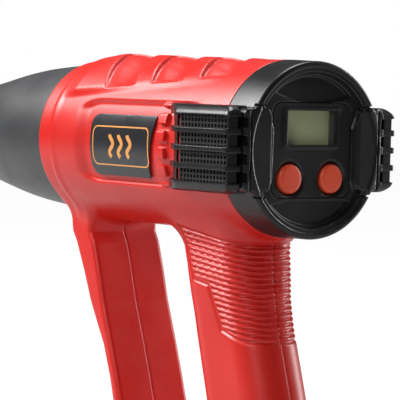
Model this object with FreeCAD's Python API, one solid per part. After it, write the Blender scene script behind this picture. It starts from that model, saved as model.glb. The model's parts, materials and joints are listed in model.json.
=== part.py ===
"""Electric heat gun with a closed hand guard: rear control panel, side air intakes, moulded two-part housing."""
import FreeCAD, Part
import math
import os

from FreeCAD import Vector as V

# ---- driving dimensions, in millimetres ----
REAR_X = 134.0          # plane of the rear rim; the nozzle points to -X
DROP = 158.0            # height of the barrel's axis above the foot's underside
PAD_T = 1.4             # thickness of the rubber feet
AXIS_Z = DROP + PAD_T   # height of the barrel's axis above the surface it stands on
TUBE_TIP = 268.0        # distance from the rear rim forward to the nozzle's mouth
WALL = 2.5              # housing wall thickness
CAP_R = 38.0            # rear cap outer radius
CAP_SKIRT = 18.0        # length of the cap's skirt
BARREL_R = 38.4         # barrel outer radius behind the front collar
COLLAR_R = 36.8         # front collar radius
FRONT = 155.0           # front edge of the housing, from the rear rim
SHROUD_END = 250.0      # front edge of the nozzle shroud
SHROUD_TIP_R = 22.0
NOZZLE_R = 17.25        # outer radius of the steel nozzle, which takes slip-on nozzles
NOZZLE_WALL = 0.8
HANDLE_W = 36.0         # handle width
GUARD_W = 40.0          # hand guard width
GUARD_T = 9.0           # hand guard thickness
FOOT_H = 12.0           # height of the bar that joins guard and handle
FOOT_FRONT = 126.0      # front edge of the foot, from the rear rim
VENT_Y = 48.0           # half width over the intake grilles
VENT_H = 18.5           # half height of an intake grille
BAR = 2.2               # grille bar height
SLOT = 5.4              # grille slot height
BUTTON_R = 6.2
KEY_TOP = 1.9           # depth of the keys' tops behind the rim
BUTTON_Y = 11.7         # each button's offset from the middle
BUTTON_Z = -12.2        # the buttons' height from the axis
WINDOW_W, WINDOW_H = 28.0, 14.6
WINDOW_Z = 9.5          # display centre above the axis
PANEL_FACE = 3.0        # depth of the panel's face behind the rim
LCD_DEPTH = 8.6         # depth of the display glass behind the rim
GAP = 0.3               # working clearance between moving and fixed parts
ROCKER_F, ROCKER_UP = 64.4, -70.0   # power rocker's pin, forward of the rear rim and from the axis
ROCKER_LEAN = 15.0      # slope of the handle's front at the power rocker, in degrees

# handle centre line as (distance forward of the rear rim, height below the axis, depth)
HANDLE_LINE = [(56, 26, 64), (51, 42, 51), (47, 58, 47), (41, 80, 47), (34, 104, 48), (28, 128, 49), (25, 149, 50)]
# hand guard centre line as (distance forward of the rear rim, height below the axis)
GUARD_LINE = [(141, 28), (134, 50), (127, 72), (118.5, 96), (111, 120), (107, 149)]
SCREW_SPOTS = [(75, 152), (33, 100), (44, 88)]      # housing screws, as distance forward and height below the axis


def at(forward, y=0.0, up=0.0):
    """A point given by its distance forward of the rear rim, its side offset and its height above the axis."""
    return V(REAR_X - forward, y, AXIS_Z + up)


def box(f0, f1, y0, y1, z0, z1):
    """A box between two distances forward of the rear rim, two side offsets and two heights above the axis."""
    return Part.makeBox(abs(f1 - f0), y1 - y0, z1 - z0, at(max(f0, f1), y0, z0))


def rod(f0, f1, radius, y=0.0, up=0.0):
    """A cylinder along the barrel's axis."""
    return Part.makeCylinder(radius, abs(f1 - f0), at(max(f0, f1), y, up), V(1, 0, 0))


def cross_rod(radius, forward, up, y0, y1):
    """A cylinder across the tool."""
    return Part.makeCylinder(radius, y1 - y0, at(forward, y0, up), V(0, 1, 0))


def turned(points):
    """A solid of revolution about the barrel's axis from (distance forward, radius) points."""
    wire = Part.makePolygon([at(f, 0, r) for f, r in points + points[:1]])
    return Part.Face(wire).revolve(at(0), V(1, 0, 0), 360)


def fuse(shapes):
    """One shape from several."""
    whole = shapes[0].fuse(shapes[1:]) if len(shapes) > 1 else shapes[0]
    return whole.removeSplitter()


def rounded_section(forward, up, depth, width, radius):
    """A horizontal rounded rectangle centred on the middle plane."""
    a, b, r = depth / 2, width / 2, min(radius, depth / 2 - 0.1, width / 2 - 0.1)
    corners = [(a, b), (-a, b), (-a, -b), (a, -b)]
    edges, ends = [], []
    for cx, cy in corners:
        sx, sy = math.copysign(1, cx), math.copysign(1, cy)
        mid = (cx - sx * r * (1 - math.sqrt(0.5)), cy - sy * r * (1 - math.sqrt(0.5)))
        first, last = (cx, cy - sy * r), (cx - sx * r, cy)
        if sx != sy:
            first, last = last, first
        points = [at(forward, 0, up) + V(x, y, 0) for x, y in (first, mid, last)]
        ends.append((points[0], points[2]))
        edges.append(Part.Arc(*points).toShape())
    for i in range(4):
        edges.append(Part.LineSegment(ends[i][1], ends[(i + 1) % 4][0]).toShape())
    return Part.Wire(Part.__sortEdges__(edges))


def handle_solid(inset=0.0):
    """Pistol grip, from inside the barrel down to the foot; the inset gives its hollow."""
    wires = [rounded_section(f, -down, d - 2 * inset, HANDLE_W - 2 * inset, 15 - inset)
             for f, down, d in HANDLE_LINE]
    return Part.makeLoft(wires, True, False)


def guard_solid(inset=0.0):
    """Slanted hand guard in front of the fingers."""
    wires = [rounded_section(f, -down, GUARD_T - 2 * inset, GUARD_W - 2 * inset, 3.2)
             for f, down in GUARD_LINE]
    return Part.makeLoft(wires, True, False)


def foot_solid(inset=0.0):
    """Bar under the grip and the guard."""
    low, high = -DROP + inset, -DROP + FOOT_H - inset
    block = box(inset, FOOT_FRONT - inset, -GUARD_W / 2 + inset, GUARD_W / 2 - inset, low, high)
    upright = [e for e in block.Edges if abs(e.Vertexes[0].Z - e.Vertexes[-1].Z) > 1]
    return block.makeFillet(8 - inset, upright)


def barrel_outer():
    """Barrel skin with a collar at the front and three raised ribs over the top."""
    shape = turned([(CAP_SKIRT, 0), (CAP_SKIRT, BARREL_R + 0.1), (FRONT - 16, BARREL_R), (FRONT - 11, COLLAR_R),
                    (FRONT - 1, COLLAR_R), (FRONT, COLLAR_R - 0.8), (FRONT, 0)])
    ribs = [turned([(f - 8, 30), (f - 6, 39), (f, 40.2), (f + 7, 39.2), (f + 9, 30)]) for f in (65, 98, 131)]
    top = box(40, 150, -27, 27, 27, 45)
    shape = fuse([shape] + [r.common(top) for r in ribs])
    scoops = [turned([(f + 5.5, 36.6), (f + 5.5, 43), (f - 5.5, 43), (f - 5.5, 36.6)]) for f in (48.5, 81.5, 114.5)]
    pocket_zone = box(40, 150, -25, 25, 28, 45)
    for s in scoops:
        shape = shape.cut(s.common(pocket_zone))
    return shape


def side_cutters():
    """Shallow badge recess and intake opening on each side."""
    ring = turned([(50, 37.2), (50, 45), (122, 45), (122, 37.2)])
    cutters = []
    for side in (-1, 1):
        y0, y1 = sorted((side * 20, side * 50))
        zone = box(50, 122, y0, y1, -18.5, 18.5)
        edges = [e for e in zone.Edges if abs(e.Vertexes[0].Y - e.Vertexes[-1].Y) > 1]
        cutters.append(ring.common(zone.makeFillet(7, edges)))
        cutters.append(box(CAP_SKIRT - 1, 46, y0, y1, -15, 15))
    return cutters


def housing():
    """Both housing halves: one hollow skin, split on the middle plane, with screw bosses inside."""
    outer = fuse([barrel_outer(), handle_solid(), guard_solid(), foot_solid()])
    bore = turned([(CAP_SKIRT - 1, 0), (CAP_SKIRT - 1, BARREL_R - WALL), (FRONT - 6, COLLAR_R - WALL - 0.4),
                   (FRONT - 6, 31.5), (FRONT + 1, 31.5), (FRONT + 1, 0)])
    inner = [bore, handle_solid(WALL), guard_solid(WALL), foot_solid(WALL)]
    skin = outer.cut(inner).cut(side_cutters())
    skin = skin.cut(rocker_opening()).cut(cord_bore())
    bosses = [cross_rod(3.6, f, -down, -HANDLE_W / 2 + 1, HANDLE_W / 2 - 1) for f, down in SCREW_SPOTS]
    inside = handle_solid(WALL - 0.5).fuse(foot_solid(WALL - 0.5))
    skin = skin.fuse([b.common(inside) for b in bosses])
    halves = []
    for side in (-1, 1):
        y0, y1 = sorted((side * 0.0, side * 60.0))
        halves.append(skin.common(box(-10, 300, y0, y1, -AXIS_Z - 5, 60)))
    left, right = halves
    for f, down in SCREW_SPOTS:
        right = right.cut(cross_rod(1.6, f, -down, 0, 40)).cut(cross_rod(3.2, f, -down, HANDLE_W / 2 - 4, 40))
        left = left.cut(cross_rod(1.25, f, -down, -12, 0))
    return biggest(left), biggest(right)


def biggest(shape):
    """The largest solid of a shape, without loose slivers."""
    return max(shape.Solids, key=lambda s: s.Volume)


def leaned(shape):
    """Turns a piece of the power switch to the slope of the handle's front."""
    shape.rotate(at(ROCKER_F, 0, ROCKER_UP), V(0, 1, 0), -ROCKER_LEAN)
    return shape


def rocker_opening():
    """Rectangular opening in the handle's front wall for the power rocker."""
    return leaned(box(58, 85, -7.5, 7.5, -82.2, -57.8))


def cord_bore():
    """Round mains inlet through the heel of the foot."""
    return Part.makeCylinder(4.0, 20, at(12, 0, -DROP - 2), V(0, 0, 1))


def housing_screws():
    """Cross-head screws that enter from the right half and hold the halves together."""
    solids = []
    for f, down in SCREW_SPOTS:
        head = cross_rod(3.0, f, -down, HANDLE_W / 2 - 4, HANDLE_W / 2 - 2)
        shank = cross_rod(1.2, f, -down, -10, HANDLE_W / 2 - 4)
        slot = box(f - 2, f + 2, HANDLE_W / 2 - 2.8, HANDLE_W / 2, -down - 0.4, -down + 0.4)
        cross = box(f - 0.4, f + 0.4, HANDLE_W / 2 - 2.8, HANDLE_W / 2, -down - 2, -down + 2)
        solids.append(head.fuse(shank).cut(slot).cut(cross))
    return Part.makeCompound(solids)


def rear_cap():
    """Black rear cover: skirt, rim lip, side ears and a sunk face with the panel's opening."""
    skirt = turned([(0, 35.4), (0, CAP_R - 0.8), (0.8, CAP_R), (CAP_SKIRT, BARREL_R), (CAP_SKIRT, 35.6),
                    (CAP_SKIRT + 6, 35.6), (CAP_SKIRT + 6, 33.4), (PANEL_FACE + 2.2, 33.4), (PANEL_FACE + 2.2, 0),
                    (PANEL_FACE, 0), (PANEL_FACE, 33.2), (0.8, 33.2), (0.8, 35.4)])
    ears = []
    for side in (-1, 1):
        y0, y1 = sorted((side * 26.0, side * 39.6))
        plate = box(0.4, 5, y0, y1, -17.5, 17.5)
        upright = [e for e in plate.Edges if abs(e.Vertexes[0].X - e.Vertexes[-1].X) > 1]
        ears.append(plate.makeFillet(3, upright))
    shape = fuse([skirt] + ears)
    opening = box(2, 8, -22.3, 22.3, -20.3, 20.3)
    corner = [e for e in opening.Edges if abs(e.Vertexes[0].X - e.Vertexes[-1].X) > 1]
    shape = shape.cut(opening.makeFillet(5, corner))
    for side in (-1, 1):
        y0, y1 = sorted((side * 30.0, side * 45))
        shape = shape.cut(box(6, 30, y0, y1, -15, 15))
    return biggest(shape)


def control_panel():
    """Flat face plate with two button holes and a tunnel from the display window back to the display."""
    plate = box(PANEL_FACE - 0.8, PANEL_FACE + 2, -22, 22, -20, 20)
    edges = [e for e in plate.Edges if abs(e.Vertexes[0].X - e.Vertexes[-1].X) > 1]
    plate = plate.makeFillet(4.7, edges)
    z0, z1 = WINDOW_Z - WINDOW_H / 2, WINDOW_Z + WINDOW_H / 2
    tunnel = box(PANEL_FACE + 1, LCD_DEPTH - 0.2, -WINDOW_W / 2 - 1.2, WINDOW_W / 2 + 1.2, z0 - 1.2, z1 + 1.2)
    plate = plate.fuse(tunnel).removeSplitter().cut(box(0, 12, -WINDOW_W / 2, WINDOW_W / 2, z0, z1))
    for y in (-BUTTON_Y, BUTTON_Y):
        plate = plate.cut(rod(0, 10, BUTTON_R + GAP, y, BUTTON_Z))
        dish = Part.makeCone(BUTTON_R + 0.6, BUTTON_R + 2.2, 1.4, at(PANEL_FACE + 0.6, y, BUTTON_Z), V(1, 0, 0))
        plate = plate.cut(dish)
    return plate


def display_window():
    """Clear lens in the panel's window."""
    z0, z1 = WINDOW_Z - WINDOW_H / 2, WINDOW_Z + WINDOW_H / 2
    return box(PANEL_FACE + 0.8, PANEL_FACE + 2.0, -WINDOW_W / 2, WINDOW_W / 2, z0, z1)


def lcd_display():
    """Display glass behind the lens."""
    z0, z1 = WINDOW_Z - WINDOW_H / 2 - 1, WINDOW_Z + WINDOW_H / 2 + 1
    return box(LCD_DEPTH, LCD_DEPTH + 2.4, -WINDOW_W / 2 - 2, WINDOW_W / 2 + 2, z0, z1)


def display_board():
    """Circuit board behind the control panel."""
    return box(11.5, 13.1, -24, 24, -20, 20).cut([rod(10, 15, 1.3, y, z) for y in (-21, 21) for z in (-17, 17)])


def tact_switches():
    """Two small switches that the keys press."""
    return Part.makeCompound([
        box(9.0, 11.5, y - 3, y + 3, BUTTON_Z - 3, BUTTON_Z + 3).fuse(rod(8.6, 9.0, 1.7, y, BUTTON_Z))
        for y in (-BUTTON_Y, BUTTON_Y)])


def button(y):
    """Push button: a crowned cap with a retaining flange behind the panel."""
    cap = rod(KEY_TOP, 6.6, BUTTON_R, y, BUTTON_Z)
    rim = [e for e in cap.Edges if e.Closed and abs(e.Vertexes[0].X - at(KEY_TOP).x) < 0.01]
    cap = cap.makeFillet(0.8, rim)
    return cap.fuse(rod(5.4, 6.6, BUTTON_R + 1.2, y, BUTTON_Z)).removeSplitter()


def plan_prism(points, side, z0, z1):
    """A prism over (distance forward, distance from the middle plane) points, on one side of the tool."""
    wire = Part.makePolygon([at(f, side * y, z0) for f, y in points + points[:1]])
    return Part.Face(wire).extrude(V(0, 0, z1 - z0))


def grille(side):
    """Side intake cover: five bars and four slots, with a long chamfer at the front end."""
    plan = [(56, 34.5), (37, VENT_Y), (2.4, VENT_Y), (1.2, VENT_Y - 1.2), (1.2, 40), (5.6, 40), (5.6, 33), (56, 33)]
    hollow = [(52.5, 30), (52.5, 34.4), (36.4, VENT_Y - 2.4), (3.6, VENT_Y - 2.4), (3.6, 42), (8, 42), (8, 30)]
    outer = plan_prism(plan, side, -VENT_H, VENT_H)
    long_edges = [e for e in outer.Edges
                  if abs(abs(e.Vertexes[0].Y) - VENT_Y) < 0.01 and abs(abs(e.Vertexes[-1].Y) - VENT_Y) < 0.01
                  and abs(e.Vertexes[0].X - e.Vertexes[-1].X) > 1]
    outer = outer.makeFillet(4.0, long_edges)
    shape = outer.cut(plan_prism(hollow, side, -VENT_H + 2, VENT_H - 2))
    barrel = turned([(0, 0), (0, BARREL_R + 0.15), (60, BARREL_R + 0.15), (60, 0)])
    shape = shape.cut(barrel)
    pitch = SLOT + BAR
    for i in range(4):
        z0 = -2 * pitch + BAR / 2 + i * pitch
        y0, y1 = sorted((side * 42.5, side * 60.0))
        shape = shape.cut(box(3.8, 40, y0, y1, z0, z0 + SLOT))
    return biggest(shape)


def dust_filter(side):
    """Perforated screen behind the grille's slots."""
    y0, y1 = sorted((side * (VENT_Y - 3.6), side * (VENT_Y - 2.7)))
    plate = box(4.2, 36.0, y0, y1, -15.6, 15.6)
    holes = []
    for i in range(14):
        for j in range(14):
            f, z = 5.2 + 2.2 * i, -14.7 + 2.16 * j
            holes.append(box(f, f + 1.35, y0 - 1, y1 + 1, z, z + 1.35))
    return plate.cut(Part.makeCompound(holes))


def badge(side):
    """Blank badge plate bent to the barrel, with a slanted rear edge."""
    ring = turned([(60, 37.25), (60, 37.9), (112, 37.9), (112, 37.25)])
    corners = [(112, -15.3), (112, 12.4), (64.7, 12.4), (69.9, -15.3)]
    wire = Part.makePolygon([at(f, side * 20, z) for f, z in corners + corners[:1]])
    zone = Part.Face(wire).extrude(V(0, side * 30, 0))
    front_edges = [e for e in zone.Edges if abs(e.Vertexes[0].Y - e.Vertexes[-1].Y) > 1
                   and e.Vertexes[0].X < at(100).x]
    return ring.common(zone.makeFillet(6, front_edges))


def nozzle_shroud():
    """Tapered heat shield in front of the housing, with a spigot held between the two halves."""
    return turned([(FRONT - 5.8, 31.3), (FRONT, 31.3), (FRONT, 35.2), (189, 32.6), (216, 28.4), (238, 24.3),
                   (SHROUD_END, SHROUD_TIP_R), (SHROUD_END + 1.2, SHROUD_TIP_R - 1.2), (SHROUD_END + 1.2, 19.4),
                   (SHROUD_END - 1, 19.4), (237, 21.8), (215, 25.9), (188, 30.1), (160, 29.4),
                   (FRONT - 5.8, 28.8)])


def nozzle_tube():
    """Steel outlet tube with a rolled mouth and a mounting flange at its hot end."""
    inner = NOZZLE_R - NOZZLE_WALL
    return turned([(102, inner), (102, 24), (103.2, 24), (103.2, NOZZLE_R - 0.3), (SHROUD_END + 1, NOZZLE_R - 0.3),
                   (SHROUD_END + 1, NOZZLE_R), (TUBE_TIP, NOZZLE_R), (TUBE_TIP, inner)])


def mica_sleeve():
    """Insulating sleeve inside the outlet tube."""
    return turned([(108, 15.2), (108, 16.0), (246, 16.0), (246, 15.2)])


def heater_core():
    """Crossed mica plates with a disc at each end."""
    blades = [box(112, 240, -14.6, 14.6, -0.5, 0.5), box(112, 240, -0.5, 0.5, -14.6, 14.6)]
    discs = [rod(f, f + 1.2, 14.8).cut([rod(f - 1, f + 3, 4.5, y, z) for y in (-7.4, 7.4) for z in (-7.4, 7.4)])
             for f in (112, 238.8)]
    return fuse(blades + discs)


def heater_coils():
    """Four heating coils, one in each quarter of the core, as tubes of the coils' outer size."""
    return Part.makeCompound([rod(116, 236, 3.6, y, z).cut(rod(115, 237, 2.6, y, z))
                              for y in (-7.4, 7.4) for z in (-7.4, 7.4)])


def heater_holder():
    """Moulded ring that centres the nozzle's flange in the barrel."""
    return turned([(96, 16.6), (96, 34.2), (99, 34.2), (99, 27), (106, 27), (106, 24.4), (101.8, 24.4),
                   (101.8, 16.6)])


def fan_duct():
    """Guide ring with fixed vanes between the fan and the heater."""
    ring = turned([(62, 32.2), (62, 34.6), (92, 34.6), (95.5, 24), (95.5, 21.6), (91, 32.2)])
    hub = rod(86, 94, 9)
    vanes = []
    for i in range(7):
        vane = box(86, 92, 8, 33.2, -0.6, 0.6)
        vane.rotate(at(0), V(1, 0, 0), i * 360 / 7)
        vanes.append(vane)
    return fuse([ring, hub] + vanes)


def motor_case():
    """Motor can with a bearing boss at each end."""
    return turned([(28, 14), (29, 15), (61, 15), (62, 14), (62, 5), (64, 5), (64, 1.7), (26, 1.7), (26, 5), (28, 5)])


def motor_mount():
    """Ring with three arms that carries the motor in the barrel."""
    ring = turned([(54, 15.15), (54, 18), (60, 18), (60, 15.15)])
    band = turned([(54, 33.5), (54, 34.9), (60, 34.9), (60, 33.5)])
    arms = []
    for i in range(3):
        arm = box(54, 60, 17, 34, -2, 2)
        arm.rotate(at(0), V(1, 0, 0), 90 + i * 120)
        arms.append(arm)
    return fuse([ring, band] + arms)


def motor_shaft():
    """Shaft through the motor and the fan."""
    return rod(24, 82, 1.6)


def fan_impeller():
    """Axial fan: hub and nine pitched blades, pressed on the shaft."""
    hub = turned([(67, 1.6), (67, 9.5), (80, 8.5), (82, 5), (82, 1.6)])
    blades = []
    for i in range(9):
        blade = box(72.9, 74.1, -7, 7, 8, 30.5)
        blade.rotate(at(73.5), V(0, 0, 1), 35)
        blade.rotate(at(0), V(1, 0, 0), i * 40)
        blades.append(blade)
    limit = turned([(66, 1.6), (66, 31), (82, 31), (82, 1.6)])
    return fuse([hub] + blades).common(limit)


def power_board():
    """Mains and triac board in the handle's top."""
    board = box(31.5, 47.5, -1, 0.6, -76, -40)
    parts = [box(34, 44, 0.6, 8, -50, -42), cross_rod(4.0, 40, -68, 0.6, 12), box(35, 41, 0.6, 5, -61, -54)]
    return fuse([board] + parts)


def triac_heatsink():
    """Finned sink bolted beside the power board."""
    fins = [box(33, 46, -12.4 + 2.2 * i, -11.4 + 2.2 * i, -68, -46) for i in range(5)]
    return fuse(fins + [box(33, 46, -12.4, -2.6, -58, -56)])


def switch_body():
    """Hollow switch box with ears for the rocker's pin."""
    case = box(50.5, 67.2, -7.3, 7.3, -82, -58).cut(box(57.5, 70, -5.9, 5.9, -80.6, -59.4))
    return leaned(case.cut(cross_rod(1.03, ROCKER_F, ROCKER_UP, -8, 8)))


def switch_rocker():
    """Three-position power rocker that turns on a pin across the handle."""
    core = cross_rod(3.4, ROCKER_F, ROCKER_UP, -5.6, 5.6)
    side_view = [(65.0, 61.3), (69.2, 60.6), (67.8, 70), (69.2, 79.4), (65.0, 78.7), (61.6, 70)]
    wire = Part.makePolygon([at(f, -5.6, -z) for f, z in side_view + side_view[:1]])
    paddle = Part.Face(wire).extrude(V(0, 11.2, 0))
    rocker = core.fuse(paddle).removeSplitter().cut(cross_rod(1.04, ROCKER_F, ROCKER_UP, -7, 7))
    return leaned(rocker)


def rocker_pin():
    """Pin that the rocker turns on."""
    return cross_rod(1.0, ROCKER_F, ROCKER_UP, -7.2, 7.2)


def cord_clamp():
    """Clamp ring above the mains inlet."""
    return box(9, 23, -7, 7, -128, -123).cut(Part.makeCylinder(3.6, 10, at(16, 0, -130), V(0, 0, 1)))


def thermocouple():
    """Temperature probe in the outlet's air stream."""
    return Part.makeCylinder(0.8, 12, at(243, 0, 3), V(0, 0, 1)).fuse(rod(243.8, 242.2, 0.8, 0, 3))


def feet():
    """Four round rubber pads under the foot."""
    spots = [(24, -13), (24, 13), (117, -13), (117, 13)]
    return Part.makeCompound([Part.makeCylinder(4.5, PAD_T, at(f, y, -DROP - PAD_T), V(0, 0, 1)) for f, y in spots])


def make_parts():
    left, right = housing()
    parts = {
        "left_housing": left, "right_housing": right, "housing_screws": housing_screws(),
        "rear_cap": rear_cap(), "control_panel": control_panel(), "display_window": display_window(),
        "lcd_display": lcd_display(), "display_board": display_board(), "tact_switches": tact_switches(),
        "minus_button": button(-BUTTON_Y), "plus_button": button(BUTTON_Y),
        "left_grille": grille(-1), "right_grille": grille(1),
        "left_dust_filter": dust_filter(-1), "right_dust_filter": dust_filter(1),
        "left_badge": badge(-1), "right_badge": badge(1),
        "nozzle_shroud": nozzle_shroud(), "nozzle_tube": nozzle_tube(), "mica_sleeve": mica_sleeve(),
        "heater_core": heater_core(), "heater_coils": heater_coils(), "heater_holder": heater_holder(),
        "fan_duct": fan_duct(), "motor_case": motor_case(), "motor_mount": motor_mount(),
        "motor_shaft": motor_shaft(), "fan_impeller": fan_impeller(), "power_board": power_board(),
        "triac_heatsink": triac_heatsink(), "switch_body": switch_body(), "switch_rocker": switch_rocker(),
        "rocker_pin": rocker_pin(), "cord_clamp": cord_clamp(), "thermocouple": thermocouple(),
        "rubber_feet": feet(),
    }
    return parts


os.makedirs("parts", exist_ok=True)
for old in os.listdir("parts"):
    os.remove(os.path.join("parts", old))
for name, shape in make_parts().items():
    solids = shape.Solids
    print(name, len(solids), round(shape.Volume / 1000, 2), shape.isValid())
    shape.exportStep(f"parts/{name}.step")
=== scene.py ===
# Looks for the heat gun: moulded housing, rear cap, grilles, shroud and badge,
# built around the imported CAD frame.

import json
import math

import bmesh
import bpy
import numpy as np
import openvdb
from mathutils import Matrix, Vector

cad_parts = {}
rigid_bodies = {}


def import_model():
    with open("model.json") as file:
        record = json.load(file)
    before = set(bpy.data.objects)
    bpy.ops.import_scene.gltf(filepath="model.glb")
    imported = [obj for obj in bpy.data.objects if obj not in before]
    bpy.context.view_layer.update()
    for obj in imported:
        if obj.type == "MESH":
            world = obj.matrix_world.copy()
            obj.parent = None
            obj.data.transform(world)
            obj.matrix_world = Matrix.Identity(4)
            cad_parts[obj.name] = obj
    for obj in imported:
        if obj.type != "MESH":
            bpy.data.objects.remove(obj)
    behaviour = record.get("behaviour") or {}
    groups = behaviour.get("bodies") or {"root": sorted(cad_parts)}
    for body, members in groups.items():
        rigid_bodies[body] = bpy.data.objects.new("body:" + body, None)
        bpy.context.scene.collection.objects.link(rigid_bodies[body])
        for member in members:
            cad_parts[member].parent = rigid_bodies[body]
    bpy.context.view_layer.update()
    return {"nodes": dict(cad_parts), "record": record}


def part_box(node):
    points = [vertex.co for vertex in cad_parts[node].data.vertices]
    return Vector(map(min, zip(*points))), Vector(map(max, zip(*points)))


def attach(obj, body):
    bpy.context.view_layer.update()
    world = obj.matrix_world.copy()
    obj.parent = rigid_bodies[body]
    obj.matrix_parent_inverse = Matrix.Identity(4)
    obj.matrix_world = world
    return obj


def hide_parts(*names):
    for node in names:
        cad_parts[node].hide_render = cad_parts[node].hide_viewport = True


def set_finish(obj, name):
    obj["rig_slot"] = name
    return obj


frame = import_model()

# ---- the part's own measures, in millimetres ----
# Lengths run forward from the rear rim (f), sideways (y) and up from the barrel's axis (u).
cap_low, cap_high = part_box("rear_cap")
REAR_X = cap_high.x * 1000
AXIS_Z = (cap_low.z + cap_high.z) * 500
tube_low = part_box("nozzle_tube")[0]
shroud_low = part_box("nozzle_shroud")[0]
FOOT_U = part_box("left_housing")[0].z * 1000 - AXIS_Z
BARREL_R = 38.4         # barrel behind the front collar
COLLAR_R = 36.8         # barrel at the front collar
CAP_R = 38.0            # rear cap at its rim
CAP_SKIRT = 18.0        # length of the rear cap's skirt
FRONT = 155.0           # housing's front edge
WALL = 3.3              # housing wall
LEAST_WALL = 1.8        # wall left under the scoops
HANDLE_W = 36.0
GUARD_W = 40.0
FOOT_H = 12.0
FOOT_FRONT = 126.0
VENT_Y = 48.0           # half width over both grilles
VENT_H = 18.5           # half height of a grille
BAR = 2.2               # height of a grille bar
SLOT = 5.4              # height of a grille slot
PITCH = BAR + SLOT
SLOT_ROWS = (-1.5, -0.5, 0.5, 1.5)      # the four slots' middles, in pitches from the axis
BUTTON_R = 6.2
BUTTON_Y = 11.7
BUTTON_U = -12.2
WINDOW_W, WINDOW_H, WINDOW_U = 28.0, 14.6, 9.5      # display window and its height above the axis
FACE = 3.0              # depth of the sunk face behind the rim
LEAN = math.radians(15)         # slope of the handle's front at the power rocker
ROCKER_HALF_H, ROCKER_HALF_W = 12.2, 7.5        # half size of the power rocker's opening
CORD_F, CORD_R = 12.0, 4.0      # mains inlet in the heel of the foot
SCREWS = [(75, -152), (33, -100), (44, -88)]        # (f, u) of the housing screws
SCREW_HEAD_R = 3.3
SCREW_DEPTH = 8         # distance from the parting plane to the screw wells' bottoms
SCOOP = 4.6             # depth of the scoops over the barrel
SLANT = 0.40            # how far each scoop's edge runs back, in mm for each degree away from the top
CRESTS = [131.0, 98.0, 65.0]        # the scoops' raised front edges
CREST_R = [40.4, 39.7, 39.2]        # radius at each raised edge
SHARP = math.radians(40)            # edges turned by more than this are shaded sharp


# ---- solid modelling with distance fields ----
def smooth(edge0, edge1, x):
    """Goes smoothly from 0 at edge0 to 1 at edge1."""
    t = np.clip((x - edge0) / (edge1 - edge0), 0, 1)
    return t * t * (3 - 2 * t)


def union(a, b, k=0.0):
    """Union of two fields with a fillet of about k."""
    if k <= 0:
        return np.minimum(a, b)
    h = np.clip(0.5 + 0.5 * (b - a) / k, 0, 1)
    return b + (a - b) * h - k * h * (1 - h)


def meet(a, b, k=0.0):
    """Intersection of two fields with an edge round of about k."""
    return -union(-a, -b, k)


def cut(a, b, k=0.0):
    """Field a without field b, with an edge round of about k."""
    return meet(a, -b, k)


def rounded_rect(x, y, a, b, r):
    """Distance to a rectangle of half sizes a and b with corner radius r."""
    qx, qy = np.abs(x) - a + r, np.abs(y) - b + r
    return np.hypot(np.maximum(qx, 0), np.maximum(qy, 0)) + np.minimum(np.maximum(qx, qy), 0) - r


def polygon(x, y, corners):
    """Signed distance to a polygon, negative inside."""
    x, y = np.broadcast_arrays(x, y)
    best = np.full(x.shape, 1e9)
    inside = np.zeros(x.shape, bool)
    for (x0, y0), (x1, y1) in zip(corners, corners[1:] + corners[:1]):
        ex, ey = x1 - x0, y1 - y0
        t = np.clip(((x - x0) * ex + (y - y0) * ey) / (ex * ex + ey * ey), 0, 1)
        best = np.minimum(best, np.hypot(x - x0 - t * ex, y - y0 - t * ey))
        if ey:
            crosses = (y0 > y) != (y1 > y)
            inside ^= crosses & (x < x0 + ex * (y - y0) / ey)
    return np.where(inside, -best, best)


def along(value, table):
    """Interpolates a table of (position, measure) rows, given in rising order."""
    rows = sorted(table)
    return np.interp(value, [r[0] for r in rows], [r[1] for r in rows])


def axes(f_range, y_range, u_range, step):
    """Grid coordinates along f, y and u, shaped so that they broadcast."""
    f = np.arange(f_range[0], f_range[1], step)[:, None, None]
    y = np.arange(y_range[0], y_range[1], step)[None, :, None]
    u = np.arange(u_range[0], u_range[1], step)[None, None, :]
    return f, y, u


def to_mesh(name, field, grid_axes, step, mirror=False):
    """A smooth mesh object of the surface where the field is zero."""
    band = 3 * step
    shape = tuple(a.size for a in grid_axes)
    values = np.clip(np.broadcast_to(field, shape), -band, band).astype(np.float32)
    grid = openvdb.FloatGrid(band)
    grid.copyFromArray(values, tolerance=0.0)
    points, triangles, quads = grid.convertToPolygons(isovalue=0.0, adaptivity=0.0)
    f, y, u = (points[:, i] * step + grid_axes[i].ravel()[0] for i in range(3))
    side = -1 if mirror else 1
    co = np.stack([REAR_X - f, side * y, AXIS_Z + u], 1) / 1000
    faces = [t[::side] for t in triangles.tolist()] + [q[::side] for q in quads.tolist()]
    mesh = bpy.data.meshes.new(name)
    mesh.from_pydata(co.tolist(), [], faces)
    mesh.polygons.foreach_set("use_smooth", [True] * len(mesh.polygons))
    mesh.set_sharp_from_angle(angle=SHARP)
    mesh.update()
    obj = bpy.data.objects.new(name, mesh)
    bpy.context.scene.collection.objects.link(obj)
    return obj


# ---- the red housing ----
STEP = 0.5
shell_axes = axes((-3, 158), (-47.5, 1.5), (FOOT_U - 2, 43), STEP)
F, Y, U = shell_axes
R = np.hypot(Y, U)
AROUND = np.degrees(np.arctan2(np.abs(Y), U))       # angle from the top of the barrel

# centre line (f) and thickness of the handle and of the guard at heights u
HANDLE_F = [(-26, 56), (-45, 50.6), (-53, 49.0), (-66, 47.0), (-84, 42.5),
            (-104, 36.5), (-128, 29.5), (-149, 26), (-160, 25)]
HANDLE_D = [(-26, 60), (-45, 50), (-53, 48.5), (-66, 47.5), (-84, 47.5),
            (-104, 48), (-128, 48.5), (-149, 49), (-160, 50)]
GUARD_F = [(-20, 144), (-44, 142.5), (-49, 139.3), (-62, 134), (-76, 129),
           (-85, 124.8), (-95, 120), (-110, 114.5), (-128, 109), (-149, 105), (-160, 104)]
GUARD_D = [(-20, 20), (-44, 15.5), (-49, 15), (-62, 13), (-76, 10.9),
           (-85, 9.2), (-95, 7), (-110, 6.5), (-128, 7), (-149, 10), (-160, 12)]

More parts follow.
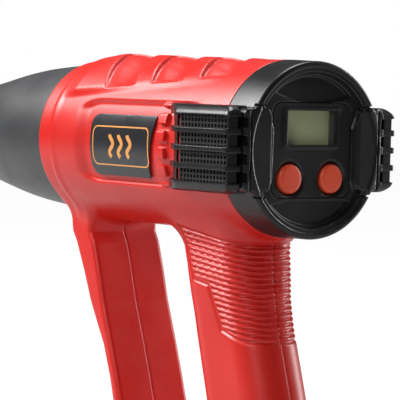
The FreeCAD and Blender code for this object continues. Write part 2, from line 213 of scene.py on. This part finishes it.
GRIP_TOP = (68.5, -36.5)            # front upper corner of the ribbed panel
GRIP = [GRIP_TOP, (58.9, -59.4), (49.0, -61.0), (39.7, -80.0), (28.0, -83.6),
        (-9.0, -86.0), (-9.0, -45.0), (40.0, -40.8)]
RIB_PITCH = 2.35
RIB_SLOPE = 0.11                    # fall of the ribs for each mm rearward
RIB_HEIGHT = 1.15                   # depth of the hollows between the ribs
GROOVE = 0.9                        # depth of the line round the ribbed panel


def plain_barrel():
    """Barrel without its relief, for the hollow inside."""
    radius = BARREL_R - 0.4 + (COLLAR_R - BARREL_R) * smooth(142.5, 147, F)
    return meet(meet(R - radius, F - FRONT), CAP_SKIRT - F)


def barrel():
    """Barrel with raised top, three scoops, front collar and side recess."""
    raised = along(F, list(zip(CRESTS, CREST_R)) + [(146, 38.2), (40, 38.9)])
    low = 24.2 + (112 - F) * 0.083
    top = smooth(low - 4, low + 1.5, U)
    radius = BARREL_R + (raised - BARREL_R) * top * smooth(147, 139, F) * smooth(30, 44, F)
    radius = radius + (COLLAR_R - BARREL_R) * smooth(143, 146.5, F) + 0.35 * np.exp(-((F - 141.5) / 2.0) ** 2)
    for crest in CRESTS:
        back = crest - F - SLANT * AROUND
        fall = smooth(-0.6, 0.9, back) * 0.42 + smooth(0, 15, back) * 0.58
        climb = 1 - smooth(15.5, 22.5, back)
        wide = smooth(low - 0.5, low + 0.9, U) * (0.42 + 0.58 * smooth(3, 20, AROUND))
        wide = wide * (0.82 + 0.18 * smooth(50, 40, AROUND))
        radius = radius - SCOOP * fall * climb * wide
    recess = rounded_rect((F - 77) * 0.34, U, 47 * 0.34, 19.4, 5.5)
    side = smooth(0.2, -2.8, recess) * smooth(25, 30, np.abs(Y))
    radius = radius - 1.8 * side
    return meet(meet(R - radius, F - FRONT, 1.2), CAP_SKIRT - F, 0.3)


def handle():
    """Pistol grip that leans forward at the top and swells into the barrel."""
    centre, depth = along(U, HANDLE_F), along(U, HANDLE_D)
    body = rounded_rect(F - centre, Y, depth / 2, HANDLE_W / 2 - 1.2 * smooth(-50, -80, U), 15.5) * 0.97
    return meet(body, U + 20)


def guard():
    """Closed hand guard, a slanted strap with rounded edges."""
    centre, depth = along(U, GUARD_F), along(U, GUARD_D)
    strap = rounded_rect(F - centre, Y, depth / 2, GUARD_W / 2, 2.6) * 0.95
    return meet(strap, U + 20)


def foot():
    """Bar under the handle and the guard, with rounded corners."""
    block = rounded_rect(F - FOOT_FRONT / 2, Y, FOOT_FRONT / 2, GUARD_W / 2, 8)
    low = np.abs(U - FOOT_U - FOOT_H / 2) - FOOT_H / 2
    return meet(block, low, 3)


def ribs():
    """Height of the grip's rib relief: rounded ribs inside the outline and a groove along it."""
    outline = polygon(F, U, GRIP)
    phase = (U - GRIP_TOP[1] + RIB_SLOPE * (GRIP_TOP[0] - F)) / RIB_PITCH
    wave = 0.5 - 0.5 * np.cos(2 * np.pi * phase)
    relief = (1 - wave ** 0.6) * smooth(-0.8, -1.6, outline) * RIB_HEIGHT
    groove = GROOVE * np.exp(-(outline / 0.7) ** 2)
    return (relief + groove) * smooth(-33, -36, U)


grip, frame_bar = handle(), union(guard(), foot(), 9)
# behind the cap's front edge the housing goes on only below the cap
under_cap = CAP_SKIRT - F - 60 * smooth(-38.2, -39.5, U)
outer = union(union(barrel(), grip, 10), frame_bar, 7) + ribs()
core = union(union(plain_barrel(), grip, 10), frame_bar, 7)
hollow = np.maximum(meet(core, under_cap) + WALL, outer + LEAST_WALL)
shell = cut(meet(outer, under_cap, 0.4), hollow)
shell = cut(shell, meet(R - (BARREL_R - WALL), F - CAP_SKIRT - 6))
shell = cut(shell, meet(R - 31.5, 148 - F))
# air opening behind each grille
vent_opening = meet(np.abs(U) - 15, np.abs(F - 31.5) - 14.5)
shell = cut(shell, meet(vent_opening, Y + 20))

# castellated teeth in front of the grille, in line with its bars
tooth_zone = rounded_rect(F - 59.6, U, 3.0, 18.4, 0.6)
tooth_wave = np.abs((U % PITCH) - PITCH / 2) - 2.3
teeth = meet(meet(tooth_zone, tooth_wave, 0.4), meet(R - 38.7, 30 + Y, 0.5), 0.4)
shell = union(shell, meet(teeth, 34 - R), 0.2)

# opening for the power rocker, round its pin and square to the handle's front, and the mains inlet
pin_low, pin_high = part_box("rocker_pin")
PIN_F = REAR_X - (pin_low.x + pin_high.x) * 500
PIN_U = (pin_low.z + pin_high.z) * 500 - AXIS_Z
lean_f = (F - PIN_F) * math.cos(LEAN) + (U - PIN_U) * math.sin(LEAN)
lean_u = (U - PIN_U) * math.cos(LEAN) - (F - PIN_F) * math.sin(LEAN)
well = meet(rounded_rect(lean_u, Y, ROCKER_HALF_H, ROCKER_HALF_W, 1.0), np.abs(lean_f - 12) - 18)
shell = cut(shell, well, 0.5)
shell = cut(shell, meet(np.hypot(F - CORD_F, Y) - CORD_R, U + 130), 0.3)


def housing_half(name, node, side):
    """One moulded half: side -1 is the tool's left, side 1 its right with the screw wells."""
    half = meet(shell, Y + 0.01)
    if side > 0:
        for f, u in SCREWS:
            half = cut(half, meet(np.hypot(F - f, U - u) - SCREW_HEAD_R, Y + SCREW_DEPTH), 0.3)
    piece = to_mesh(name, half, shell_axes, STEP, mirror=side > 0)
    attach(piece, "body")
    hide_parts(node)
    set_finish(piece, "red_shell")
    return piece


housing_half("left_shell", "left_housing", -1)
housing_half("right_shell", "right_housing", 1)

# ---- the black rear cap and its panel ----
CAP_STEP = 0.33
cap_axes = axes((-1, 25.5), (-41, 41), (-40, 40), CAP_STEP)
F, Y, U = cap_axes
R = np.hypot(Y, U)


def rear_cap():
    """Skirt with a rolled rim, a sunk face, a crescent recess above and side plates beside the panel."""
    radius = CAP_R + (BARREL_R - CAP_R) * smooth(0, CAP_SKIRT, F)
    drum = meet(meet(R - radius, -F, 1.6), F - CAP_SKIRT, 0.3)
    drum = union(drum, meet(R - 35.6, F - CAP_SKIRT - 6))
    drum = cut(drum, meet(R - 33.4, FACE + 2.4 - F), 0.3)
    drum = cut(drum, meet(R - 35.4, F - 0.9), 0.5)
    drum = cut(drum, meet(R - 33.2, F - FACE), 0.8)
    arc = np.hypot(Y - 2.0, U - 80.8) - 60.6
    crescent = meet(meet(R - 31.6, arc), F - FACE - 1.6)
    drum = cut(drum, crescent, 0.8)
    lower = meet(meet(R - 31.6, U + 21.4 + 0.18 * np.maximum(np.abs(Y - 2) - 14, 0)), F - FACE - 1.1)
    drum = cut(drum, lower, 0.6)
    ear = meet(rounded_rect(np.abs(Y) - 32, U, 7.6, 17.5, 3.2), np.abs(F - 3.0) - 2.8, 1.0)
    drum = union(drum, meet(ear, 24 - np.abs(Y)), 0.6)
    side_plate = [(26.4, 18.8), (22.2, 9), (22.6, -13.3), (25.6, -19.6), (36, -19.6), (36, 18.8)]
    plate = polygon(np.abs(Y) + 0 * F, U, side_plate)
    step = meet(meet(plate, np.abs(U) - 17.0), np.abs(F - 3.0) - 1.6)
    drum = union(drum, step, 0.5)
    outline = np.abs(plate) - 0.35
    drum = cut(drum, meet(outline, np.abs(F - 1.0) - 1.4), 0.3)
    opening = meet(rounded_rect(Y, U, 22.25, 20.25, 4.9), np.abs(F - 5) - 6)
    drum = cut(drum, opening, 0.15)
    for k in SLOT_ROWS:
        notch = meet(rounded_rect(np.abs(Y) - 39.6, U - k * PITCH, 1.8, 2.1, 0.4), np.abs(F - 3) - 5)
        drum = cut(drum, notch, 0.2)
    window = meet(np.abs(U) - 15, np.abs(F - 18) - 12)
    drum = cut(drum, meet(window, 30 - np.abs(Y)))
    return drum


cap = to_mesh("rear_cover", rear_cap(), cap_axes, CAP_STEP)
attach(cap, "body")
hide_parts("rear_cap")
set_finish(cap, "black_plastic")

PANEL_STEP = 0.25
panel_axes = axes((1.2, 9.2), (-23, 23), (-21, 21), PANEL_STEP)
F, Y, U = panel_axes


def face_panel():
    """Flat face with a window that opens into a tunnel and a dished well around each key."""
    plate = meet(rounded_rect(Y, U, 22.1, 20.1, 4.7), np.abs(F - 4.0) - 1.1, 0.2)
    tunnel = rounded_rect(Y, U - WINDOW_U, WINDOW_W / 2 + 1.2, WINDOW_H / 2 + 1.2, 1.4)
    tunnel = meet(tunnel, np.abs(F - 6.2) - 2.2)
    plate = union(plate, tunnel, 0.4)
    frame_edge = rounded_rect(Y, U - WINDOW_U, WINDOW_W / 2 + 1.5, WINDOW_H / 2 + 1.5, 1.5)
    plate = union(plate, meet(frame_edge, np.abs(F - 3.3) - 0.9, 0.4), 0.3)
    plate = cut(plate, rounded_rect(Y, U - WINDOW_U, WINDOW_W / 2, WINDOW_H / 2, 0.8), 0.5)
    for y in (-BUTTON_Y, BUTTON_Y):
        r = np.hypot(Y - y, U - BUTTON_U)
        dish = r - BUTTON_R - 1.9 + 1.1 * (F - 2.9)
        plate = cut(plate, meet(dish, F - 4.3), 0.4)
        plate = cut(plate, r - BUTTON_R - 0.3, 0.2)
    return plate


panel = to_mesh("face_panel", face_panel(), panel_axes, PANEL_STEP)
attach(panel, "body")
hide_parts("control_panel")
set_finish(panel, "black_plastic")

# ---- intake grilles ----
GRILLE_STEP = 0.25
grille_axes = axes((0.2, 57), (-49, -33), (-19.5, 19.5), GRILLE_STEP)
F, Y, U = grille_axes
R = np.hypot(Y, U)


def grille():
    """Five rounded bars and four slots, which shallow grooves carry on over the long front chamfer."""
    top = VENT_Y - 0.2
    plan = [(55.8, 35.5), (37, top), (2.4, top), (1.2, top - 1.2),
            (1.2, 40), (5.6, 40), (5.6, 33), (55.8, 33)]
    side_on = rounded_rect(F - 28.5, U, 27.3, VENT_H, 5.5)
    from_above = polygon(F + 0 * Y, -Y + 0 * F, plan)
    chamfer = (-Y - top) * 0.7 + (np.abs(U) - VENT_H) * 0.7 + 2.4
    body = meet(meet(from_above, side_on, 1.2), chamfer, 1.5)
    hollow = meet(body + 2.4, np.abs(F - 28) - 24)
    shape = cut(cut(body, hollow), R - 38.55)
    lug = meet(meet(body, F - 8), -Y - 44)
    shape = union(shape, meet(lug, 40.1 + Y))
    for k in SLOT_ROWS:
        line = U - k * PITCH
        slot = meet(rounded_rect(F - 20.6, line, 16.8, SLOT / 2, 0.8), Y + 42)
        groove = meet(np.abs(line) - SLOT / 2 + 0.2, -(from_above + 1.3))
        shape = cut(cut(shape, slot, 0.5), meet(groove, 0.8 - F), 0.4)
    return shape


for name, node, mirror in (("left_vent", "left_grille", False), ("right_vent", "right_grille", True)):
    vent = to_mesh(name, grille(), grille_axes, GRILLE_STEP, mirror)
    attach(vent, "body")
    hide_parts(node)
    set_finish(vent, "black_plastic")


# ---- turned pieces ----
def lathe(name, profile, node, slot, segments=160, body="body"):
    """A surface of revolution about the barrel's axis from (f, radius) points, closed into a ring."""
    angles = [2 * math.pi * i / segments for i in range(segments)]
    verts = [((REAR_X - f) / 1000, r * math.sin(a) / 1000, (AXIS_Z + r * math.cos(a)) / 1000)
             for a in angles for f, r in profile]
    n = len(profile)
    faces = []
    for i in range(segments):
        j = (i + 1) % segments
        faces += [(i * n + k, i * n + (k + 1) % n, j * n + (k + 1) % n, j * n + k) for k in range(n)]
    mesh = bpy.data.meshes.new(name)
    mesh.from_pydata(verts, [], faces)
    mesh.polygons.foreach_set("use_smooth", [True] * len(mesh.polygons))
    mesh.update()
    obj = bpy.data.objects.new(name, mesh)
    bpy.context.scene.collection.objects.link(obj)
    bevel = obj.modifiers.new("edge", "BEVEL")
    bevel.width = 0.0004
    bevel.segments = 2
    bevel.angle_limit = math.radians(35)
    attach(obj, body)
    if node:
        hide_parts(node)
    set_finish(obj, slot)
    return obj


def curve(points, steps=8):
    """Points along a smooth line through the given (f, radius) rows."""
    rows = [points[0]] + list(points) + [points[-1]]
    out = []
    for p0, p1, p2, p3 in zip(rows, rows[1:], rows[2:], rows[3:]):
        for i in range(steps):
            t = i / steps
            out.append(tuple(0.5 * (2 * b + (c - a) * t + (2 * a - 5 * b + 4 * c - d) * t * t
                                    + (3 * b - a - 3 * c + d) * t ** 3)
                             for a, b, c, d in zip(p0, p1, p2, p3)))
    return out + [tuple(points[-1])]


SHROUD_F = REAR_X - shroud_low.x * 1000
TUBE_F = REAR_X - tube_low.x * 1000
outside = curve([(155.2, 35.2), (163, 34.7), (174, 33.9), (189, 32.6), (203, 30.7),
                 (216, 28.4), (228, 26.1), (238, 24.3), (249, 22.2)])
inside = [(SHROUD_F, 20.6), (SHROUD_F, 19.4), (249, 19.4), (237, 21.8), (215, 25.9), (188, 30.1), (160, 29.4),
          (149.4, 28.8), (149.4, 31.3), (155.0, 31.3)]
lathe("heat_shroud", outside + inside, "nozzle_shroud", "shroud_black")
lathe("outlet_tube", [(102, 16.45), (102, 24), (103.2, 24), (103.2, 16.95), (251, 16.95), (251, 17.25),
                      (266.6, 17.25), (267.6, 17.25), (TUBE_F, 17.05), (TUBE_F, 16.6), (267.2, 16.45)],
      "nozzle_tube", "nozzle_steel")

# ---- keys ----
for y, node, name in ((-BUTTON_Y, "minus_button", "minus_key"), (BUTTON_Y, "plus_button", "plus_key")):
    profile = curve([(1.9, 0.02), (1.92, 3.0), (2.0, 4.6), (2.2, 5.6), (2.9, BUTTON_R)]) + [
        (5.4, BUTTON_R), (5.4, BUTTON_R + 1.2), (6.6, BUTTON_R + 1.2), (6.6, 0.02)]
    key = lathe(name, profile, node, "orange_button", 64, node)
    for v in key.data.vertices:
        v.co.y += y / 1000
        v.co.z += BUTTON_U / 1000

# ---- badges with a generic mark ----
BADGE_STEP = 0.2
badge_axes = axes((64, 114), (-39.6, -30), (-17, 14), BADGE_STEP)
F, Y, U = badge_axes
R = np.hypot(Y, U)


def badge_plate():
    """Thin plate bent round the barrel, with a slanted rear edge."""
    ring = np.abs(R - 37.45) - 0.4
    rear = (67.2 - 0.185 * (U + 1.4) - F) * 0.983
    zone = meet(rounded_rect(F - 85, U + 1.45, 27, 13.85, 5), rear, 0.8)
    return meet(ring, zone, 0.35)


def ribbon(path, width, closed):
    """A flat raised line along (f, u) points, bent round the barrel: vertices and faces."""
    verts, faces = [], []
    count = len(path)
    for i, (f, u) in enumerate(path):
        f0, u0 = path[i - 1] if closed or i else path[0]
        f1, u1 = path[(i + 1) % count] if closed or i + 1 < count else path[-1]
        length = math.hypot(f1 - f0, u1 - u0)
        nf, nu = (u1 - u0) / length * width / 2, -(f1 - f0) / length * width / 2
        for k, r in ((1, 37.75), (1, 37.98), (-1, 37.98), (-1, 37.75)):
            height = u + k * nu
            verts.append((f + k * nf, -math.sqrt(r * r - height * height), height))
    last = count if closed else count - 1
    for i in range(last):
        j = (i + 1) % count
        faces += [(4 * i + k, 4 * i + (k + 1) % 4, 4 * j + (k + 1) % 4, 4 * j + k) for k in range(4)]
    if not closed:
        faces += [(0, 3, 2, 1), tuple(4 * last + k for k in range(4))]
    return verts, faces


def badge_line(name, mirror):
    """Thin rounded outline with three plain wavy strokes for hot air inside it."""
    half_f, half_u, corner, middle_f, middle_u = 20.5, 8.6, 3.0, 89.0, -1.8
    outline = []
    for k in range(4):
        cf = (half_f - corner) * (1 if k in (0, 3) else -1)
        cu = (half_u - corner) * (1 if k in (0, 1) else -1)
        for i in range(9):
            angle = math.radians(90 * k + 90 * i / 8)
            outline.append((middle_f + cf + corner * math.cos(angle),
                            middle_u + cu + corner * math.sin(angle)))
        if k in (1, 3):
            f_end, u_end = outline[-1]
            run = (2 * half_u - 2 * corner) * (-1 if k == 1 else 1)
            outline += [(f_end, u_end + run * i / 12) for i in range(1, 12)]
    strokes = [(outline, 0.65, True)]
    for k in (-1, 0, 1):
        wave = [(middle_f + 6.5 * k + 1.3 * math.sin(2 * math.pi * i / 16), middle_u - 5 + 10 * i / 20)
                for i in range(21)]
        strokes.append((wave, 2.0, False))
    verts, faces = [], []
    for path, width, closed in strokes:
        more, sides = ribbon(path, width, closed)
        faces += [tuple(i + len(verts) for i in face) for face in sides]
        verts += more
    side = -1 if mirror else 1
    mesh = bpy.data.meshes.new(name)
    points = [((REAR_X - f) / 1000, side * y / 1000, (AXIS_Z + u) / 1000) for f, y, u in verts]
    mesh.from_pydata(points, [], faces)
    fixed = bmesh.new()
    fixed.from_mesh(mesh)
    bmesh.ops.recalc_face_normals(fixed, faces=fixed.faces)
    fixed.to_mesh(mesh)
    fixed.free()
    obj = bpy.data.objects.new(name, mesh)
    bpy.context.scene.collection.objects.link(obj)
    return obj


for side, mirror in (("left", False), ("right", True)):
    plate = to_mesh(side + "_badge_plate", badge_plate(), badge_axes, BADGE_STEP, mirror)
    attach(plate, "body")
    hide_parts(side + "_badge")
    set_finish(plate, "badge")
    line = badge_line(side + "_badge_line", mirror)
    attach(line, "body")
    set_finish(line, "badge")


# ---- materials ----
class Nodes:
    """A short way to wire one material's shader nodes."""

    def __init__(self, name):
        self.material = bpy.data.materials.new(name)
        self.material.use_nodes = True
        self.tree = self.material.node_tree
        self.tree.nodes.clear()
        self.out = self.add("ShaderNodeOutputMaterial")
        self.shader = self.add("ShaderNodeBsdfPrincipled")
        self.link(self.shader.outputs[0], self.out.inputs["Surface"])
        self.place = self.add("ShaderNodeTexCoord").outputs["Object"]

    def add(self, kind, **settings):
        node = self.tree.nodes.new(kind)
        for key, value in settings.items():
            setattr(node, key, value)
        return node

    def link(self, a, b):
        self.tree.links.new(a, b)

    def noise(self, scale, detail=4.0, rough=0.5, stretch=None):
        node = self.add("ShaderNodeTexNoise")
        node.inputs["Scale"].default_value = scale
        node.inputs["Detail"].default_value = detail
        node.inputs["Roughness"].default_value = rough
        source = self.place
        if stretch:
            mapping = self.add("ShaderNodeMapping")
            mapping.inputs["Scale"].default_value = stretch
            self.link(source, mapping.inputs["Vector"])
            source = mapping.outputs[0]
        self.link(source, node.inputs["Vector"])
        return node.outputs[0]

    def span(self, source, low, high, from_low=0.3, from_high=0.7):
        node = self.add("ShaderNodeMapRange")
        node.inputs["From Min"].default_value = from_low
        node.inputs["From Max"].default_value = from_high
        node.inputs["To Min"].default_value = low
        node.inputs["To Max"].default_value = high
        self.link(source, node.inputs["Value"])
        return node.outputs[0]

    def mix(self, factor, a, b):
        node = self.add("ShaderNodeMix", data_type="RGBA")
        self.link(factor, node.inputs["Factor"])
        for socket, value in (("A", a), ("B", b)):
            target = [s for s in node.inputs if s.name == socket and s.type == "RGBA"][0]
            if isinstance(value, tuple):
                target.default_value = (*value, 1)
            else:
                self.link(value, target)
        return [s for s in node.outputs if s.type == "RGBA"][0]

    def bump(self, height, strength, distance, below=None):
        node = self.add("ShaderNodeBump")
        node.inputs["Strength"].default_value = strength
        node.inputs["Distance"].default_value = distance
        self.link(height, node.inputs["Height"])
        if below is not None:
            self.link(below, node.inputs["Normal"])
        return node.outputs[0]

    def edges(self, amount):
        """Wear on raised edges."""
        point = self.add("ShaderNodeNewGeometry").outputs["Pointiness"]
        return self.span(point, 0, amount, 0.53, 0.60)


def plastic(name, base, tint, rough, grain, bump, wear_color, wear=0.3, specular=0.5):
    """Moulded plastic: slow colour drift, patchy gloss, fine moulded grain and rubbed edges."""
    n = Nodes(name)
    drift = n.span(n.noise(22, 3), 0, 1, 0.35, 0.65)
    color = n.mix(drift, base, tint)
    color = n.mix(n.edges(wear), color, wear_color)
    n.link(color, n.shader.inputs["Base Color"])
    n.link(n.span(n.noise(60, 5), rough * 0.86, rough * 1.16), n.shader.inputs["Roughness"])
    fine = n.bump(n.noise(grain, 2), bump, 0.00012)
    wide = n.bump(n.noise(70, 2), 0.1, 0.0006, fine)
    n.link(wide, n.shader.inputs["Normal"])
    n.shader.inputs["Specular IOR Level"].default_value = specular
    return n.material


def metal(name, base, tint, rough, stretch, scale=500, bump=0.25):
    """Metal with drawn or turned marks."""
    n = Nodes(name)
    streak = n.noise(scale, 4, 0.6, stretch)
    patch = n.noise(30, 4)
    n.link(n.mix(n.span(patch, 0, 1), base, tint), n.shader.inputs["Base Color"])
    n.link(n.span(streak, rough * 0.7, rough * 1.4), n.shader.inputs["Roughness"])
    n.link(n.bump(streak, bump, 0.0001), n.shader.inputs["Normal"])
    n.shader.inputs["Metallic"].default_value = 1.0
    return n.material


MATERIALS = {
    "red_shell": plastic("red shell", (0.66, 0.018, 0.012), (0.60, 0.014, 0.010),
                         0.36, 1500, 0.3, (0.80, 0.08, 0.06), 0.3),
    "black_plastic": plastic("black plastic", (0.007, 0.007, 0.0075), (0.011, 0.011, 0.012),
                             0.34, 1700, 0.4,
                             (0.05, 0.05, 0.055), 0.5, specular=0.4),
    "shroud_black": plastic("shroud", (0.035, 0.036, 0.038), (0.045, 0.046, 0.048),
                            0.42, 1400, 0.5, (0.1, 0.1, 0.1), 0.4),
    "filter_black": plastic("filter", (0.012, 0.012, 0.013), (0.02, 0.02, 0.02),
                            0.45, 1800, 0.3, (0.07, 0.07, 0.07)),
    "orange_button": plastic("orange key", (0.86, 0.085, 0.03), (0.80, 0.075, 0.028),
                             0.42, 1500, 0.35, (0.95, 0.2, 0.1), 0.3),
    "badge": plastic("badge", (0.018, 0.018, 0.021), (0.028, 0.028, 0.032),
                     0.28, 2200, 0.2, (0.1, 0.1, 0.1), 0.3),
    "badge_line": plastic("badge line", (0.75, 0.30, 0.06), (0.68, 0.27, 0.06),
                          0.35, 2200, 0.2, (0.9, 0.5, 0.2), 0.2),
    "lcd": plastic("display", (0.80, 0.84, 0.46), (0.74, 0.78, 0.42),
                   0.45, 900, 0.1, (0.6, 0.64, 0.33), 0.0),
    "circuit_board": plastic("board", (0.02, 0.17, 0.06), (0.015, 0.12, 0.045),
                             0.4, 700, 0.3, (0.1, 0.3, 0.15)),
    "mica": plastic("mica", (0.5, 0.4, 0.26), (0.38, 0.3, 0.2), 0.45, 500, 0.5, (0.6, 0.5, 0.35)),
    "fan_plastic": plastic("fan", (0.05, 0.05, 0.05), (0.07, 0.07, 0.07),
                           0.5, 1200, 0.4, (0.15, 0.15, 0.15)),
    "foot_rubber": plastic("rubber", (0.014, 0.014, 0.014), (0.022, 0.022, 0.022),
                           0.75, 900, 0.7, (0.05, 0.05, 0.05)),
    "steel": metal("steel", (0.6, 0.6, 0.6), (0.5, 0.5, 0.5), 0.28, (1, 1, 8)),
    "nozzle_steel": metal("nozzle steel", (0.62, 0.6, 0.56), (0.5, 0.44, 0.36), 0.26, (9, 1, 1)),
    "motor_metal": metal("motor can", (0.5, 0.5, 0.5), (0.42, 0.42, 0.42), 0.35, (6, 1, 1)),
    "aluminium": metal("aluminium", (0.75, 0.75, 0.76), (0.66, 0.66, 0.67), 0.35, (1, 1, 9)),
}


def lens_material():
    """Thin clear lens: mostly see-through, with a faint haze and a glossy face."""
    n = Nodes("lens")
    n.link(n.span(n.noise(90, 4), 0.05, 0.14), n.shader.inputs["Roughness"])
    haze = n.mix(n.span(n.noise(20, 2), 0, 1), (0.30, 0.32, 0.28), (0.26, 0.28, 0.25))
    n.link(haze, n.shader.inputs["Base Color"])
    n.link(n.bump(n.noise(300, 2), 0.03, 0.0001), n.shader.inputs["Normal"])
    n.shader.inputs["Alpha"].default_value = 0.12
    return n.material


MATERIALS["clear_lens"] = lens_material()


def dress(obj, material):
    obj.data.materials.clear()
    obj.data.materials.append(material)


SLOT_OF = {row["node"]: row["material_slot"] for row in frame["record"]["subparts"]}
for node_name, node_object in frame["nodes"].items():
    dress(node_object, MATERIALS[SLOT_OF[node_name]])
for piece in list(bpy.data.objects):
    if piece.type == "MESH" and "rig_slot" in piece and piece.name not in frame["nodes"]:
        dress(piece, MATERIALS[piece["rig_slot"]])
for side in ("left", "right"):
    dress(bpy.data.objects[side + "_badge_line"], MATERIALS["badge_line"])

# ---- studio ----
def pale_floor():
    """A wide matt white floor that the camera sees as lit paper, with the tool's soft shadow on it."""
    mesh = bpy.data.meshes.new("floor")
    mesh.from_pydata([(-9, -9, 0), (9, -9, 0), (9, 9, 0), (-9, 9, 0)], [], [(0, 1, 2, 3)])
    obj = bpy.data.objects.new("floor", mesh)
    bpy.context.scene.collection.objects.link(obj)
    n = Nodes("paper")
    tone = n.mix(n.span(n.noise(3, 2), 0, 1), (0.50, 0.50, 0.50), (0.48, 0.48, 0.48))
    n.link(tone, n.shader.inputs["Base Color"])
    n.shader.inputs["Roughness"].default_value = 0.9
    glow = n.add("ShaderNodeEmission")
    glow.inputs["Strength"].default_value = 1.12
    seen = n.add("ShaderNodeLightPath")
    share = n.span(seen.outputs["Is Camera Ray"], 0.0, 0.86, 0, 1)
    blend = n.add("ShaderNodeMixShader")
    n.link(share, blend.inputs[0])
    n.link(n.shader.outputs[0], blend.inputs[1])
    n.link(glow.outputs[0], blend.inputs[2])
    n.link(blend.outputs[0], n.out.inputs["Surface"])
    obj.data.materials.append(n.material)


pale_floor()


def area_light(name, place, target, size, power, size_y=None):
    """A white rectangular light at one place that faces another."""
    data = bpy.data.lights.new(name, "AREA")
    data.energy = power
    data.shape = "RECTANGLE"
    data.size = size
    data.size_y = size_y or size
    light = bpy.data.objects.new(name, data)
    light.location = place
    light.rotation_euler = (Vector(target) - Vector(place)).to_track_quat("-Z", "Y").to_euler()
    bpy.context.scene.collection.objects.link(light)


bpy.context.scene.view_settings.view_transform = "Standard"
# the camera sees white paper behind the tool, while the surroundings light it only faintly
world = bpy.data.worlds.new("studio")
world.use_nodes = True
tree = world.node_tree
soft = tree.nodes["Background"]
soft.inputs["Color"].default_value = (1, 1, 1, 1)
soft.inputs["Strength"].default_value = 0.05
paper = tree.nodes.new("ShaderNodeBackground")
paper.inputs["Color"].default_value = (1, 1, 1, 1)
paper.inputs["Strength"].default_value = 1.0
seen = tree.nodes.new("ShaderNodeLightPath")
choose = tree.nodes.new("ShaderNodeMixShader")
tree.links.new(seen.outputs["Is Camera Ray"], choose.inputs[0])
tree.links.new(soft.outputs[0], choose.inputs[1])
tree.links.new(paper.outputs[0], choose.inputs[2])
tree.links.new(choose.outputs[0], tree.nodes["World Output"].inputs["Surface"])
bpy.context.scene.world = world

middle = (0, 0, AXIS_Z / 1000)

# ---- camera ----
AZIMUTH, ELEVATION, ROLL = math.radians(51.24), math.radians(3.11), math.radians(1.59)
DISTANCE, OFFSET_RIGHT, OFFSET_UP = 0.8910, -0.04935, -0.02094
LENS, SENSOR = 189.0, 36.0
back = Vector((math.sin(AZIMUTH) * math.cos(ELEVATION), -math.cos(AZIMUTH) * math.cos(ELEVATION),
               math.sin(ELEVATION)))
right0 = (-back).cross(Vector((0, 0, 1))).normalized()
up0 = right0.cross(-back)
right = math.cos(ROLL) * right0 + math.sin(ROLL) * up0
up = -math.sin(ROLL) * right0 + math.cos(ROLL) * up0
rim_centre = Vector((REAR_X / 1000, 0, AXIS_Z / 1000))
camera_data = bpy.data.cameras.new("camera")
camera_data.lens = LENS
camera_data.sensor_width = SENSOR
camera_data.clip_start = 0.05
camera_data.dof.use_dof = False
camera = bpy.data.objects.new("camera", camera_data)
bpy.context.scene.collection.objects.link(camera)
place = rim_centre + back * DISTANCE + right * OFFSET_RIGHT + up * OFFSET_UP
turn = Matrix((right, up, back)).transposed().to_4x4()
camera.matrix_world = Matrix.Translation(place) @ turn
bpy.context.scene.camera = camera


def beside(r, u, b):
    """A studio position given along the camera's right, up and back from the tool's middle."""
    return tuple(Vector(middle) + right0 * r + Vector((0, 0, 1)) * u + back * b)


area_light("left softbox", beside(-0.9, 0.8, -0.1), middle, 0.6, 24)
area_light("top softbox", beside(0.2, 1.2, -0.35), middle, 0.8, 12, 0.4)
area_light("right strip", beside(1.0, 0.15, -0.45), middle, 0.2, 8, 0.9)
area_light("camera strip", beside(-0.3, 0.7, 1.15), middle, 0.22, 5, 0.7)
